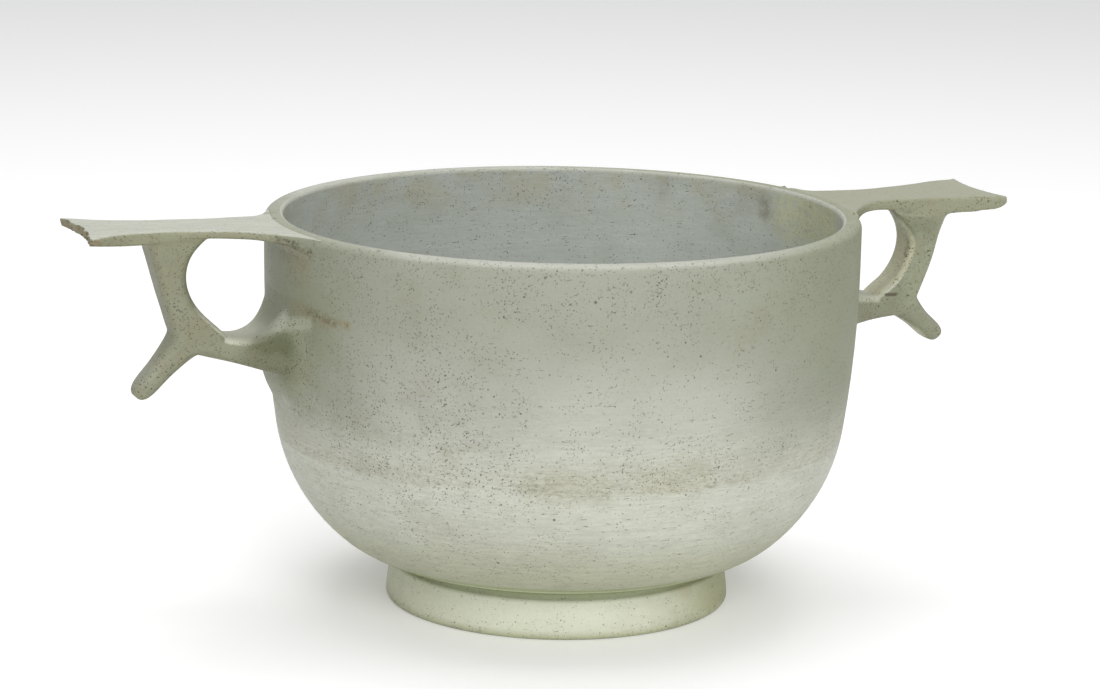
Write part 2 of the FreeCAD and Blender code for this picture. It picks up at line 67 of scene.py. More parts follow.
class Field:
    """A number, colour or place that varies over a surface: one output of a node."""

    # A Mix node's colour sockets, which share their names with its sockets for numbers.
    FIRST_COLOUR = 6
    SECOND_COLOUR = 7
    MIXED_COLOUR = 2

    def __init__(self, socket):
        self.socket = socket

    def node(self, kind, settings=None, inputs=None, output=0):
        """Another node beside this one: its settings first, then its inputs."""
        tree = self.socket.id_data
        made = tree.nodes.new(kind)
        for name, value in (settings or {}).items():
            setattr(made, name, value)
        for name, value in (inputs or {}).items():
            if isinstance(value, Field):
                tree.links.new(value.socket, made.inputs[name])
            else:
                made.inputs[name].default_value = value
        return Field(made.outputs[output])

    def sibling(self, output):
        """Another output of the same node."""
        return Field(self.socket.node.outputs[output])

    def math(self, operation, *others):
        inputs = dict(enumerate((self, *others)))
        return self.node("ShaderNodeMath", {"operation": operation}, inputs)

    def __add__(self, other):
        return self.math("ADD", other)

    def __sub__(self, other):
        return self.math("SUBTRACT", other)

    def __mul__(self, other):
        return self.math("MULTIPLY", other)

    def __rsub__(self, other):
        return self.node("ShaderNodeMath", {"operation": "SUBTRACT"}, {0: other, 1: self})

    __radd__ = __add__
    __rmul__ = __mul__

    def ramp(self, low, high):
        """0 below low, 1 above high and a soft rise between; it falls where low is above high."""
        if low > high:
            return 1 - self.ramp(high, low)
        settings = {"interpolation_type": "SMOOTHSTEP"}
        return self.node("ShaderNodeMapRange", settings, {0: self, 1: low, 2: high})

    def blend(self, first, second):
        """The first colour where this mask is 0 and the second where it is 1."""
        inputs = {0: self, self.FIRST_COLOUR: first, self.SECOND_COLOUR: second}
        return self.node("ShaderNodeMix", {"data_type": "RGBA"}, inputs, self.MIXED_COLOUR)

    def vector(self, operation, inputs, output="Vector"):
        """Vector maths on a place or colour, with its other inputs by number."""
        settings = {"operation": operation}
        return self.node("ShaderNodeVectorMath", settings, {0: self, **inputs}, output)

    def stretch(self, x, y, z):
        """A place with each axis scaled."""
        return self.vector("MULTIPLY", {1: (x, y, z)})

    def axis(self, number):
        """One coordinate of a place."""
        return self.node("ShaderNodeSeparateXYZ", None, {0: self}, number)

    def tinted(self, amount):
        """A colour made darker or paler by a factor."""
        return self.vector("SCALE", {"Scale": amount})

    def away(self, start, end=None):
        """Distance in millimetres from a spot, or from the straight line between two."""
        if end is None:
            return self.vector("DISTANCE", {1: start}, "Value")
        run = Vector(end) - Vector(start)
        reach = self.vector("SUBTRACT", {1: start})
        share = reach.vector("DOT_PRODUCT", {1: run / run.length_squared}, "Value")
        share = share.math("MAXIMUM", 0).math("MINIMUM", 1)
        inputs = {0: run, "Scale": share}
        beside = self.node("ShaderNodeVectorMath", {"operation": "SCALE"}, inputs)
        return reach.vector("DISTANCE", {1: beside}, "Value")

    def near(self, radius, start, end=None):
        """1 in the middle of a spot or line, falling to 0 at its radius in millimetres."""
        core = 0.25 * radius
        return self.away(start, end).ramp(radius, core)

    def clouds(self, size, detail=3.0, rough=0.55):
        """Soft noise from 0 to 1 with patches of the given size in millimetres."""
        inputs = {"Vector": self, "Scale": 1 / size, "Detail": detail, "Roughness": rough}
        return self.node("ShaderNodeTexNoise", None, inputs)

    def ruffled(self, size, amount):
        """A place pushed about by noise, so that what is drawn on it gets uneven edges."""
        push = self.clouds(size, detail=2.0).sibling("Color").tinted(amount)
        return self.vector("ADD", {1: push})

    def pits(self, spacing, radius, share):
        """A mask of round pits, a share of those that stand at the given spacing in millimetres."""
        away = self.node("ShaderNodeTexVoronoi", None, {"Vector": self, "Scale": 1 / spacing})
        shown = away.sibling("Color").axis(0).math("LESS_THAN", share)
        core = 0.4 * radius / spacing
        return away.ramp(radius / spacing, core) * shown


def connect(shader, name, field):
    """Feeds a field into one of a shader's sockets."""
    field.socket.id_data.links.new(field.socket, shader.inputs[name])


table_form = bmesh.new()
bmesh.ops.create_grid(table_form, x_segments=1, y_segments=1, size=TABLE_SIZE)
table_mesh = bpy.data.meshes.new("table")
table_form.to_mesh(table_mesh)
table_form.free()
table = bpy.data.objects.new("table", table_mesh)
scene.collection.objects.link(table)

table_paint = bpy.data.materials.new("table_paper")
table_paint.use_nodes = True
table_mesh.materials.append(table_paint)
table_shader = table_paint.node_tree.nodes["Principled BSDF"]
table_shader.inputs["Base Color"].default_value = TABLE_COLOUR
table_shader.inputs["Roughness"].default_value = TABLE_ROUGHNESS
table_shader.inputs["Specular IOR Level"].default_value = TABLE_GLOSS
table_shader.inputs["Emission Strength"].default_value = 1.0
paper = Field(table_shader.outputs["BSDF"])
looked_at = paper.node("ShaderNodeLightPath", output="Is Camera Ray")
connect(table_shader, "Emission Color", looked_at.blend(BLACK, TABLE_LIFT))

room = bpy.data.worlds.new("room")
room.use_nodes = True
scene.world = room
room_light = room.node_tree.nodes["Background"]
room_light.inputs["Color"].default_value = ROOM_COLOUR
room_light.inputs["Strength"].default_value = ROOM_STRENGTH
lit = Field(room_light.outputs["Background"])
seen = lit.node("ShaderNodeBackground", None, {"Color": WALL_COLOUR, "Strength": WALL_STRENGTH})
camera_ray = lit.node("ShaderNodeLightPath", output="Is Camera Ray")
shown = camera_ray
for ray in ("Is Glossy Ray", "Is Transmission Ray"):
    shown = shown.math("MAXIMUM", camera_ray.sibling(ray))
choice = lit.node("ShaderNodeMixShader", None, {0: shown, 1: lit, 2: seen})
connect(room.node_tree.nodes["World Output"], "Surface", choice)


def soft_box(name, place, size, power):
    """A square lamp with a soft edge that faces the cup."""
    lamp = bpy.data.lights.new(name, "AREA")
    lamp.shape = "SQUARE"
    lamp.size = size
    lamp.energy = power
    light = bpy.data.objects.new(name, lamp)
    scene.collection.objects.link(light)
    light.location = place
    light.rotation_euler = (CUP_MIDDLE - place).to_track_quat("-Z", "Y").to_euler()


soft_box("overhead_box", OVERHEAD_PLACE, size=0.8, power=5.2)
soft_box("front_box", FRONT_PLACE, size=0.7, power=9.0)

# Camera
# It stands 0.67 m from the cup's axis and 0.19 m above the table, turned 21 degrees from
# the square view of the handles.
CAMERA_PLACE = Vector((-0.24135, -0.62875, 0.19468))
CAMERA_HEADING = math.radians(20.816)
CAMERA_PITCH = math.radians(11.964)
CAMERA_ROLL = math.radians(1.037)
CAMERA_LENS = 111.01
SENSOR_WIDTH = 36.0

camera_data = bpy.data.cameras.new("camera")
camera_data.lens = CAMERA_LENS
camera_data.sensor_width = SENSOR_WIDTH
camera = bpy.data.objects.new("camera", camera_data)
scene.collection.objects.link(camera)
camera.matrix_world = (
    Matrix.Translation(CAMERA_PLACE)
    @ Matrix.Rotation(-CAMERA_HEADING, 4, "Z")
    @ Matrix.Rotation(math.pi / 2 - CAMERA_PITCH, 4, "X")
    @ Matrix.Rotation(CAMERA_ROLL, 4, "Z")
)
scene.camera = camera

# Bowl
# The bowl is cast glass, ground and wheel-polished inside and out. Long burial has turned
# its skin matt and milky, with brown pits, crusts by the left handle and fine level lines.
MM = 0.001
GLASS_IOR = 1.5
GLASS_GLOSS = 0.4


def glass_material(name):
    """A matt glass material, its shader and the place on the surface in millimetres."""
    material = bpy.data.materials.new(name)
    material.use_nodes = True
    shader = material.node_tree.nodes["Principled BSDF"]
    shader.inputs["IOR"].default_value = GLASS_IOR
    shader.inputs["Specular IOR Level"].default_value = GLASS_GLOSS
    skin = Field(shader.outputs["BSDF"])
    place = skin.node("ShaderNodeTexCoord", output="Object").stretch(1 / MM, 1 / MM, 1 / MM)
    return material, shader, place


PIT_BROWN = (0.075, 0.06, 0.033, 1)
HAZE_BROWN = (0.24, 0.23, 0.15, 1)
RUST = (0.24, 0.19, 0.095, 1)
DARK_CRUST = (0.07, 0.055, 0.028, 1)
# Each mark is a radius, a colour, a strength, and the one or two ends of its line in mm.
CRUSTS = (
    (1.3, DARK_CRUST, 1.0, (-63.1, -10.3, 78.4), (-60.0, -12.6, 77.4)),
    (1.6, DARK_CRUST, 1.0, (-60.0, -12.6, 77.4), (-57.8, -15.9, 76.4)),
    (3.2, RUST, 0.85, (-59.8, -5.0, 75.4), (-58.4, -14.0, 74.8)),
    (4.5, RUST, 0.5, (-59.6, -8.0, 72.0), (-58.4, -13.5, 71.5)),
    (2.2, RUST, 0.9, (-58.9, -11.2, 65.2), (-55.8, -21.7, 64.1)),
    (1.4, RUST, 1.0, (-55.8, -21.7, 64.2), (-53.5, -26.9, 64.2)),
    (1.3, DARK_CRUST, 0.65, (-58.0, -15.0, 65.0), (-55.0, -23.6, 64.2)),
    (4.5, RUST, 0.3, (13.2, -58.4, 63.0), (18.2, -57.1, 67.0)),
    (2.4, DARK_CRUST, 0.7, (-58.0, 13.9, 79.3)),
    (1.2, DARK_CRUST, 0.75, (76.4, -2.4, 70.4), (76.0, -2.5, 67.4)),
)
HOLES = (
    (1.0, DARK_CRUST, 0.95, (-49.7, -26.9, 46.4)),
    (0.8, DARK_CRUST, 0.85, (-53.4, -20.2, 41.4)),
    (0.5, DARK_CRUST, 0.85, (-38.6, -44.6, 61.6)),
    (0.45, DARK_CRUST, 0.85, (-15.5, -58.0, 72.7)),
    (0.45, DARK_CRUST, 0.85, (-5.9, -58.2, 67.5)),
    (0.45, DARK_CRUST, 0.85, (-17.5, -54.7, 59.6)),
    (0.4, DARK_CRUST, 0.85, (-20.6, -52.0, 30.1)),
    (0.9, DARK_CRUST, 0.6, (-58.3, 7.0, 79.4)),
    (0.55, DARK_CRUST, 0.85, (70.9, -4.3, 59.4), (73.0, -4.4, 59.4)),
)
# Patterns that run round the cup are drawn out sideways.
LINE_STRETCH = (0.06, 0.06, 1.0)
HATCH_STRETCH = (0.14, 0.14, 1.0)
HAZE_STRETCH = (0.6, 0.6, 1.0)
DASH_STRETCH = (0.22, 0.22, 1.5)
RELIEF_HEIGHT = 0.12 * MM
RELIEF_STRENGTH = 0.6


def marked(place, tone, marks, grain=1.0):
    """Lays marks over a tone, broken up by a grain."""
    for radius, colour, strength, *ends in marks:
        tone = (place.near(radius, *ends) * strength * grain).blend(tone, colour)
    return tone


def weather(shader, place, tone, share, lines):
    """Ages a glass skin of the given tone with pits, crust, polish lines and an uneven sheen."""
    patches = place.clouds(16.0)
    speckle = place.clouds(0.5, detail=2.0)
    level = place.stretch(*LINE_STRETCH).clouds(0.6, detail=3.0, rough=0.75)
    hatching = place.stretch(*HATCH_STRETCH).clouds(0.3, detail=2.0, rough=0.6)
    haze = place.stretch(*HAZE_STRETCH).clouds(7.0, detail=5.0, rough=0.7).ramp(0.46, 0.66)
    tone = tone.tinted(0.86 + 0.13 * patches + 0.15 * speckle)
    tone = tone.tinted(1.0 + lines * (0.8 * level + 0.7 * hatching - 0.75))
    tone = (0.24 * haze * share).blend(tone, HAZE_BROWN)

    uneven = place.ruffled(0.6, 0.7)
    crumbs = 0.5 * place.clouds(1.0, detail=3.0, rough=0.7).ramp(0.35, 0.62)
    crumbs = crumbs + 0.5 * uneven.pits(spacing=0.8, radius=0.45, share=0.75)
    tone = marked(place, tone, CRUSTS, crumbs)
    tone = marked(place, tone, HOLES)

    crowd = share * (0.25 + 1.2 * place.clouds(5.0).ramp(0.35, 0.68))
    fine = uneven.pits(spacing=0.62, radius=0.18, share=crowd)
    coarse = uneven.pits(spacing=1.1, radius=0.25, share=0.2 * crowd * crowd)
    flecks = place.clouds(0.42, detail=1.0).ramp(0.65, 0.75) * crowd
    dashes = uneven.stretch(*DASH_STRETCH).pits(spacing=0.9, radius=0.17, share=1.3 * lines)
    pitted = (0.72 * fine).math("MAXIMUM", 0.95 * coarse).math("MAXIMUM", 0.6 * dashes)
    pitted = pitted.math("MAXIMUM", 0.85 * flecks)
    tone = (pitted * 0.9).blend(tone, PIT_BROWN)

    connect(shader, "Base Color", tone)
    connect(shader, "Roughness", 0.42 + 0.22 * patches)
    relief = 0.3 * speckle + 0.35 * lines * level - pitted
    inputs = {"Strength": RELIEF_STRENGTH, "Distance": RELIEF_HEIGHT, "Height": relief}
    connect(shader, "Normal", place.node("ShaderNodeBump", None, inputs))


UNDER_RIM = (0.32, 0.333, 0.265, 1)
MIDDLE = (0.39, 0.40, 0.343, 1)
BELLY = (0.53, 0.545, 0.465, 1)
UNDERSIDE = (0.475, 0.485, 0.365, 1)
OLIVE = (0.20, 0.22, 0.125, 1)
DEEP_OLIVE = (0.10, 0.11, 0.05, 1)
THICK_GREEN = (0.37, 0.42, 0.22, 1)
NECK_GREEN = (0.58, 0.62, 0.43, 1)
STAIN = (0.34, 0.32, 0.225, 1)
# Painted highlight: the rim's top is painted pale, inside and out, for light through its thin glass
# and from above.
RIM_HIGHLIGHT = (0.42, 0.43, 0.37, 1)
# A pale tone for pale ground marks, also used for the painted highlights on the left strut's ledge.
PALE_GROUND_AND_HIGHLIGHT = (0.46, 0.48, 0.38, 1)
# Heights in mm between which one tone gives way to the next.
RIM_FADE = (78.3, 79.2)
MIDDLE_FADE = (70, 50)
BELLY_FADE = (52, 34)
UNDERSIDE_FADE = (27, 15)
NECK_TOP_FADE = (12.8, 12.0)
NECK_FADE = (11.8, 11.2)
NECK_FOOT_FADE = (10.4, 9.9)
TIDE_LEVEL = 35.0
# Painted shade and highlights: the two dark olive spots are painted shade where the left strut
# meets the wall, the two pale lines are a painted highlight on the strut's ledge, one small pale
# spot sits under the strut, and the broad pale band is a painted sheen on the front.
PAINTED_SHADE_AND_HIGHLIGHTS = (
    (7.5, DEEP_OLIVE, 0.62, (-63.8, -6.6, 54.6), (-62.0, -8.4, 54.4)),
    (3.4, DEEP_OLIVE, 0.6, (-64.6, -6.4, 56.4), (-60.8, -9.6, 57.4)),
    (3.2, PALE_GROUND_AND_HIGHLIGHT, 1.0, (-69.5, -1.5, 60.6), (-61.4, -7.0, 62.0)),
    (2.3, PALE_GROUND_AND_HIGHLIGHT, 0.5, (-61.4, -7.6, 61.2), (-57.6, -15.0, 62.6)),
    (2.0, PALE_GROUND_AND_HIGHLIGHT, 0.5, (-59.6, -5.0, 45.0)),
    (20.0, BELLY, 0.32, (-14.0, -54.5, 44.0), (4.0, -57.0, 44.0)),
)
STAINS = (
    (5.5, STAIN, 0.6, (-24.0, -52.5, 36.8), (-13.0, -55.9, 36.5)),
    (5.0, STAIN, 0.4, (-2.0, -57.5, 37.5), (6.0, -57.3, 37.5)),
    (9.0, STAIN, 0.3, (-37.0, -38.0, 23.5), (-16.0, -48.0, 22.0)),
)


def wall_tone(place):
    """Tone of the bowl's ground outside: greener by the handles, paler towards the foot, with a
    painted highlight along the rim and painted shade and highlights by the left handle and on the
    front.
    """
    height = place.axis(2)
    to_right = place.axis(0)
    tone = height.ramp(*MIDDLE_FADE).blend(UNDER_RIM, MIDDLE)
    tone = height.ramp(*BELLY_FADE).blend(tone, BELLY)
    tone = height.ramp(*UNDERSIDE_FADE).blend(tone, UNDERSIDE)
    by_left_plate = to_right.ramp(-43, -52)
    # Painted highlight along the rim, kept off where the left plate meets it.
    rim_highlight = height.ramp(*RIM_FADE) * (1 - 0.95 * by_left_plate)
    tone = rim_highlight.blend(tone, RIM_HIGHLIGHT)
    uneven = to_right + (8 * place.clouds(12.0) - 4)
    left_root = uneven.ramp(-46, -62) * (0.6 + 0.4 * height.ramp(74, 60))
    right_root = uneven.ramp(0, 55)
    tone = (0.85 * left_root * height.ramp(34, 52)).blend(tone, OLIVE)
    tone = (0.83 * right_root * height.ramp(30, 52)).blend(tone, OLIVE)
    return marked(place, tone, PAINTED_SHADE_AND_HIGHLIGHTS)


outside_glass, outside_shader, place = glass_material("ground_outside")
height = place.axis(2)
tone = wall_tone(place)
tide = height + 2.5 * place.clouds(11.0) - 1.25
streaks = place.ruffled(3.0, 2.0).stretch(0.35, 0.35, 1.0).clouds(0.4, detail=4.0, rough=0.8)
patchy = 0.25 + 0.75 * place.clouds(18.0).ramp(0.3, 0.62)
stain = tide.ramp(TIDE_LEVEL - 0.4, TIDE_LEVEL + 0.6) * tide.ramp(TIDE_LEVEL + 9, TIDE_LEVEL + 1)
stain = stain * (0.3 + 0.7 * streaks.ramp(0.42, 0.6)) * patchy
tone = (0.6 * stain).blend(tone, STAIN)
tone = marked(place, tone, STAINS, 0.3 + 0.7 * streaks.ramp(0.42, 0.58))
tone = height.ramp(*NECK_TOP_FADE).blend(tone, THICK_GREEN)
tone = height.ramp(*NECK_FADE).blend(tone, NECK_GREEN)
tone = height.ramp(*NECK_FOOT_FADE).blend(tone, THICK_GREEN)
below_rim = height.ramp(60, 77)
mid_left = place.near(32.0, (-44.0, -38.0, 45.0))
above_tide = tide.ramp(TIDE_LEVEL - 0.4, TIDE_LEVEL + 1)
above_tide = above_tide * tide.ramp(TIDE_LEVEL + 14, TIDE_LEVEL + 4)
crowd = 0.45 + 0.5 * below_rim + 0.7 * mid_left + 0.35 * above_tide
lines = 0.08 + 0.4 * height.ramp(60, 36) + 0.3 * stain
weather(outside_shader, place, tone, crowd, lines)

INSIDE = (0.40, 0.425, 0.39, 1)
INSIDE_BROWN = (0.385, 0.385, 0.31, 1)
INSIDE_GLOW_TINT = (0.57, 0.58, 0.37, 1)
INSIDE_GLOW_YELLOW = (0.59, 0.575, 0.36, 1)
MARK_BROWN = (0.16, 0.12, 0.06, 1)
SLIT_BROWN = (0.17, 0.14, 0.08, 1)
INSIDE_LINES = 0.32
# The first two marks are a painted glow inside by the right handle, where light comes through the
# glass; the rest are brown marks, a pale loop, a pit and slits.
INSIDE_MARKS = (
    (9.5, INSIDE_GLOW_TINT, 0.85, (55.2, 10.8, 75.0), (56.0, -7.0, 76.0)),
    (4.0, INSIDE_GLOW_YELLOW, 0.7, (56.0, -3.0, 76.0), (56.0, -7.0, 76.5)),
    (3.4, MARK_BROWN, 0.5, (52.9, 19.0, 76.4), (52.9, 18.9, 74.6)),
    (1.6, PALE_GROUND_AND_HIGHLIGHT, 0.4, (53.8, 16.3, 75.0), (53.3, 17.6, 72.6)),
    (4.0, MARK_BROWN, 0.3, (47.6, 24.2, 65.6)),
    (5.0, MARK_BROWN, 0.18, (38.1, 41.2, 77.0)),
    (0.8, DARK_CRUST, 0.9, (34.7, 44.2, 73.7)),
    (0.7, SLIT_BROWN, 0.95, (24.6, 50.4, 77.2), (24.4, 50.6, 75.0)),
    (0.5, SLIT_BROWN, 0.95, (24.8, 50.4, 78.4), (24.3, 50.6, 72.0)),
)

inside_glass, inside_shader, place = glass_material("polished_inside")
height = place.axis(2)
brown = height.ramp(66, 78) * place.clouds(7.0).ramp(0.4, 0.65)
tone = brown.blend(INSIDE, INSIDE_BROWN)
# Painted light: the inside is painted up to 22% paler towards the right, where less light reaches
# it.
tone = tone.tinted(1 + 0.22 * place.axis(0).ramp(8, 50))
grain = 0.45 + 0.55 * place.clouds(1.6).ramp(0.4, 0.55)
tone = marked(place.ruffled(2.5, 1.4), tone, INSIDE_MARKS, grain)
# Painted highlight along the rim's inner edge.
tone = height.ramp(*RIM_FADE).blend(tone, RIM_HIGHLIGHT)
crowd = 0.4 + 0.3 * height.ramp(60, 78)
weather(inside_shader, place, tone, crowd, INSIDE_LINES)

SAME_PLACE = 0.001 * MM
SHORTEST_RUN = 0.12 * MM
BOWL_STEPS = 288
BOWL_RUN = 1.4 * MM
INSIDE_FACING = 0.3
FLOOR_SHARE = 0.8


def merged_copy(node):
    """A mesh form with a copy of a solid, its loose triangles merged."""
    form = bmesh.new()
    form.from_mesh(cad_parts[node].data)
    bmesh.ops.remove_doubles(form, verts=form.verts, dist=SAME_PLACE)
    return form


def everything(form):
    """All points, edges and faces of a form."""
    return form.verts[:] + form.edges[:] + form.faces[:]


def axis_section(node):
    """The line that a plane through the cup's axis cuts out of a solid, on its +X side."""
    form = merged_copy(node)
    bmesh.ops.bisect_plane(form, geom=everything(form), plane_no=(1, 0, 0), clear_inner=True)
    cut = bmesh.ops.bisect_plane(form, geom=everything(form), plane_no=(0, 1, 0))["geom_cut"]
    line = {item for item in cut if isinstance(item, bmesh.types.BMEdge)}
    line = {edge for edge in line if max(vert.co.x for vert in edge.verts) > SAME_PLACE}
    rest = [edge for edge in form.edges if edge not in line]
    bmesh.ops.delete(form, geom=rest, context="EDGES")
    loose = [vert for vert in form.verts if not vert.link_edges]
    bmesh.ops.delete(form, geom=loose, context="VERTS")
    return form


def turned_shell(form, steps, longest):
    """Spins a section once round the cup's axis, with its long edges divided first."""
    bmesh.ops.remove_doubles(form, verts=form.verts, dist=SHORTEST_RUN)
    for edge in form.edges[:]:
        cuts = int(edge.calc_length() / longest)
        if cuts:
            bmesh.ops.subdivide_edges(form, edges=[edge], cuts=cuts)
    line = form.verts[:] + form.edges[:]
    bmesh.ops.spin(form, geom=line, axis=(0, 0, 1), angle=math.tau, steps=steps, use_merge=True)
    bmesh.ops.remove_doubles(form, verts=form.verts, dist=SAME_PLACE)
    bmesh.ops.recalc_face_normals(form, faces=form.faces)


def off_axis(face):
    """How far a face looks away from the cup's axis: 1 straight out, -1 straight in."""
    middle = face.calc_center_median()
    return face.normal.dot(Vector((middle.x, middle.y, 0.0)).normalized())


def finished_piece(name, form, materials, node):
    """Makes a smooth-shaded piece of the cup that stands for one solid."""
    mesh = bpy.data.meshes.new(name)
    form.to_mesh(mesh)
    form.free()
    mesh.shade_smooth()
    for finish in materials:
        mesh.materials.append(finish)
    piece = bpy.data.objects.new(name, mesh)
    scene.collection.objects.link(piece)
    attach(piece, "root")
    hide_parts(node)


bowl_low, bowl_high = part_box("bowl")
bowl_form = axis_section("bowl")
wall_line = [[(vert.co.z, vert.co.x) for vert in edge.verts] for edge in bowl_form.edges]
turned_shell(bowl_form, BOWL_STEPS, BOWL_RUN)
for face in bowl_form.faces:
    low = face.calc_center_median().z < FLOOR_SHARE * bowl_high.z
    if off_axis(face) < -INSIDE_FACING or (low and face.normal.z > INSIDE_FACING):
        face.material_index = 1
finished_piece("bowl_glass", bowl_form, (outside_glass, inside_glass), "bowl")

# Foot ring
# A low turned ring under the bowl. Seen through its thickness the clear glass is greener,
# at the neck above it and along its lower edge.
# The foot's face is pale milky glass, painted paler still as a glow, though the bowl above shades
# it.
FOOT_FACE_AND_GLOW = (0.70, 0.715, 0.585, 1)
FOOT_EDGE = (0.50, 0.52, 0.35, 1)
FOOT_BROWN = (0.42, 0.38, 0.24, 1)
FOOT_FLANK_SHADE = (0.355, 0.37, 0.19, 1)
FOOT_TOP_FADE = (7.5, 9.0)
FOOT_EDGE_FADE = (2.2, 0.4)
FOOT_LINES = 0.06
FOOT_STEPS = 256
FOOT_RUN = 0.8 * MM

foot_glass, foot_shader, place = glass_material("ground_foot")
height = place.axis(2)
to_right = place.axis(0)
tone = height.ramp(*FOOT_TOP_FADE).blend(FOOT_FACE_AND_GLOW, THICK_GREEN)
# Painted shade: the foot's flanks, mostly the right one, are painted darker and yellower where they
# turn away from the light.
flank_shade = to_right.ramp(5, 29) + 0.3 * to_right.ramp(-24, -36)
tone = (0.85 * flank_shade).blend(tone, FOOT_FLANK_SHADE)
tone = height.ramp(*FOOT_EDGE_FADE).blend(tone, FOOT_EDGE)
brown = place.clouds(4.0, detail=4.0, rough=0.65).ramp(0.4, 0.65) * to_right.ramp(0, 18)
tone = (0.35 * brown).blend(tone, FOOT_BROWN)
crowd = 0.35 + 0.5 * height.ramp(3.5, 0.8)
weather(foot_shader, place, tone, crowd, FOOT_LINES)

foot_form = axis_section("foot_ring")
turned_shell(foot_form, FOOT_STEPS, FOOT_RUN)
finished_piece("foot_glass", foot_form, (foot_glass,), "foot_ring")

# Handles
# Each handle is a flat thumb plate, a finger ring and a spur that were cast with the bowl
# and ground by hand, so they run into each other and into the wall with soft hollows.
GRAIN = 0.3 * MM
RING_MIDDLE = 68.0 * MM
WALL_SAMPLES = 400

wall_levels = np.linspace(bowl_low.z, bowl_high.z, WALL_SAMPLES)
wall_radii = np.zeros_like(wall_levels)
for (first_z, first_x), (last_z, last_x) in wall_line:
    met = (wall_levels >= min(first_z, last_z)) & (wall_levels <= max(first_z, last_z))
    if abs(last_z - first_z) > SAME_PLACE:
        share = (wall_levels[met] - first_z) / (last_z - first_z)
        wall_radii[met] = np.maximum(wall_radii[met], first_x + (last_x - first_x) * share)


def wall_radius(heights):
    """Radius of the bowl's outer face at the given heights."""
    return np.interp(heights, wall_levels, wall_radii)


# The middle of each strap's top, where it meets the plate.
STRAP_TOPS = {
    "left": Vector((-84.0, 0.0, 77.0)) * MM,
    "right": Vector((81.5, 0.0, 76.2)) * MM,
}
# Each flare is its lowest height, the half width it reaches at the strap's middle, how that
# grows with X, and how far the front moves in X on the strap's inner and outer face.
STRAP_FLARES = {
    "left": (66.0 * MM, 6.6 * MM, 0.0, 0.0, 0.0),
    "right": (70.0 * MM, 8.7 * MM, 0.2, -3.6 * MM, -1.6 * MM),
}
BACK_SPREAD_SHARE = 0.3
FLARE_STEP = 3 * GRAIN


def flare_strap(form, side):
    """Spreads the top of a finger ring's strap until it is flush with the plate's edges."""
    top = STRAP_TOPS[side]
    foot, half, lean, inner_shift, outer_shift = STRAP_FLARES[side]
    for level in np.arange(foot, top.z, FLARE_STEP):
        whole = everything(form)
        bmesh.ops.bisect_plane(form, geom=whole, plane_co=(0, 0, level), plane_no=(0, 0, 1))
    own_half = max(abs(vert.co.y) for vert in form.verts if vert.co.z > top.z - GRAIN)
    for vert in form.verts:
        rise = min(max((vert.co.z - foot) / (top.z - foot), 0), 1)
        rise = rise * rise * (3 - 2 * rise)
        flush = half + lean * (vert.co.x - top.x)
        spread = flush / own_half - 1
        if vert.co.y > 0:
            spread *= BACK_SPREAD_SHARE
        front = min(max(-vert.co.y / own_half, 0), 1)
        shift = inner_shift if vert.co.x < top.x else outer_shift
        vert.co.x += rise * front * shift
        vert.co.y *= 1 + rise * spread


ROOT_DEPTH = 1.5 * MM
SEAT_GAP = 0.1 * MM
SEAT_FACING = -0.3


def fused_mesh(side):
    """The handle's three solids melted into one skin of small even faces, rooted in the wall."""
    form = merged_copy(side + "_finger_ring")
    flare_strap(form, side)
    for kind in ("_thumb_plate", "_spur"):
        form.from_mesh(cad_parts[side + kind].data)
    bmesh.ops.remove_doubles(form, verts=form.verts, dist=SAME_PLACE)
    seats = []
    for face in form.faces:
        middle = face.calc_center_median()
        depth = math.hypot(middle.x, middle.y) - float(wall_radius(middle.z))
        if abs(depth) < SEAT_GAP and off_axis(face) < SEAT_FACING:
            seats.append(face)
    deeper = bmesh.ops.extrude_face_region(form, geom=seats)["geom"]
    moved = [item for item in deeper if isinstance(item, bmesh.types.BMVert)]
    inward = -ROOT_DEPTH if side == "right" else ROOT_DEPTH
    bmesh.ops.translate(form, verts=moved, vec=(inward, 0, 0))
    rough = bpy.data.meshes.new(side + "_rough")
    form.to_mesh(rough)
    form.free()
    holder = bpy.data.objects.new(side + "_rough", rough)
    scene.collection.objects.link(holder)
    melt = holder.modifiers.new("melt", "REMESH")
    melt.mode = "VOXEL"
    melt.voxel_size = GRAIN
    graph = bpy.context.evaluated_depsgraph_get()
    fused = bpy.data.meshes.new_from_object(holder.evaluated_get(graph))
    bpy.data.objects.remove(holder)
    return fused


def rows(items, name, width, kind):
    """One row of numbers for each item of a mesh, such as a point's place or an edge's points."""
    values = np.empty(len(items) * width, dtype=kind)
    items.foreach_get(name, values)
    return values.reshape(-1, width)


def outward(places, quads):
    """Unit normals of the points of a mesh of four-sided faces."""
    corners = places[quads]
    across = np.cross(corners[:, 2] - corners[:, 0], corners[:, 3] - corners[:, 1])
    normals = np.zeros_like(places)
    for corner in range(4):
        for axis in range(3):
            normals[:, axis] += np.bincount(quads[:, corner], across[:, axis], len(places))
    return normals / np.maximum(np.linalg.norm(normals, axis=1, keepdims=True), 1e-12)


def neighbour_mean(values, edges):
    """Mean of the neighbours of each point, for rows of places or readings."""
    total = np.zeros_like(values)
    for first, last in ((0, 1), (1, 0)):
        for column in range(values.shape[1]):
            sent = values[edges[:, last], column]
            total[:, column] += np.bincount(edges[:, first], sent, len(values))
    count = np.bincount(edges.ravel(), minlength=len(values))
    return total / np.maximum(count, 1)[:, None]


# The right plate's underside is trimmed by its end, and the right strut's top lifted by the
# wall to a small ledge.
TRIM_TOP = 79.3 * MM
TRIM_FADE = 1.0 * MM
TRIM_DROP = 1.0 * MM
TRIM_PLACE = 88.2 * MM
TRIM_REACH = 3.2 * MM
LEDGE_END = 73.0 * MM
LEDGE_RUN = 6.0 * MM
LEDGE_RISE = 1.6 * MM


